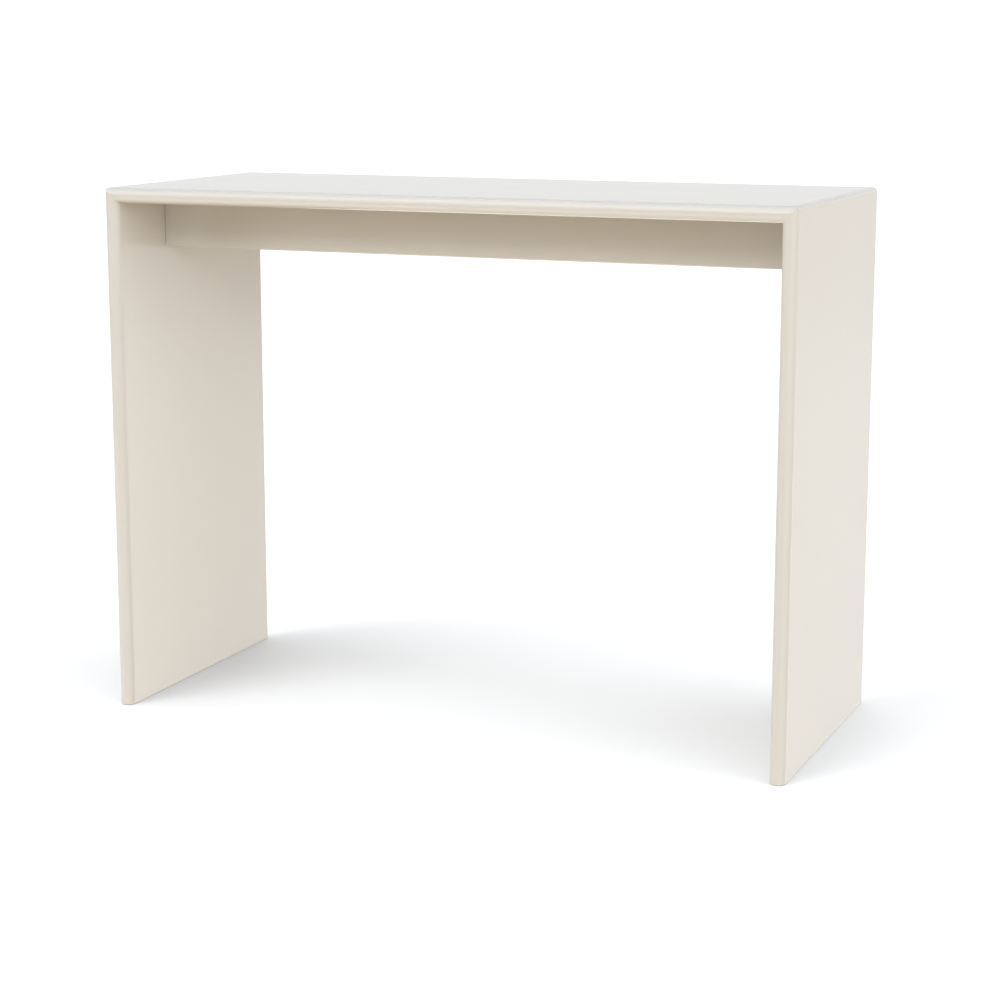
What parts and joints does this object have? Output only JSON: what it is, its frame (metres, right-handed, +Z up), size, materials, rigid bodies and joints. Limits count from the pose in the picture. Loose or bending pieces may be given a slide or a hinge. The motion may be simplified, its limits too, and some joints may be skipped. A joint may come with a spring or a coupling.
{
  "type": "bar table",
  "caption": "Bar-height table: a lacquered top mitred to two full-depth side panels, with half-round front edges and a set-back rail under the top.",
  "frame": {"origin": "on the floor, below the middle of the table's footprint", "axes": "+X to the table's right along its width, +Y to its square rear edge (-Y is the rounded front), +Z up"},
  "size_m": [1.4, 0.59, 1.05],
  "materials": {
    "lacquered_board": "satin off-white lacquer on fibreboard",
    "beech": "bare pressed or turned beech",
    "glide_plastic": "plain moulded plastic",
    "screw_steel": "zinc-plated steel"
  },
  "bodies": {
    "root": {"table_top": "lacquered_board", "left_side_panel": "lacquered_board", "right_side_panel": "lacquered_board", "apron_rail": "lacquered_board", "mitre_biscuit_left_1": "beech", "mitre_biscuit_left_2": "beech", "mitre_biscuit_left_3": "beech", "mitre_biscuit_left_4": "beech", "mitre_biscuit_left_5": "beech", "mitre_biscuit_left_6": "beech", "rail_end_dowel_left_1": "beech", "rail_end_dowel_left_2": "beech", "mitre_biscuit_right_1": "beech", "mitre_biscuit_right_2": "beech", "mitre_biscuit_right_3": "beech", "mitre_biscuit_right_4": "beech", "mitre_biscuit_right_5": "beech", "mitre_biscuit_right_6": "beech", "rail_end_dowel_right_1": "beech", "rail_end_dowel_right_2": "beech", "rail_top_dowel_1": "beech", "rail_top_dowel_2": "beech", "rail_top_dowel_3": "beech", "rail_top_dowel_4": "beech", "rail_top_dowel_5": "beech", "glide_front_left": "glide_plastic", "glide_screw_front_left": "screw_steel", "glide_front_right": "glide_plastic", "glide_screw_front_right": "screw_steel", "glide_rear_left": "glide_plastic", "glide_screw_rear_left": "screw_steel", "glide_rear_right": "glide_plastic", "glide_screw_rear_right": "screw_steel"}
  },
  "joints": []
}
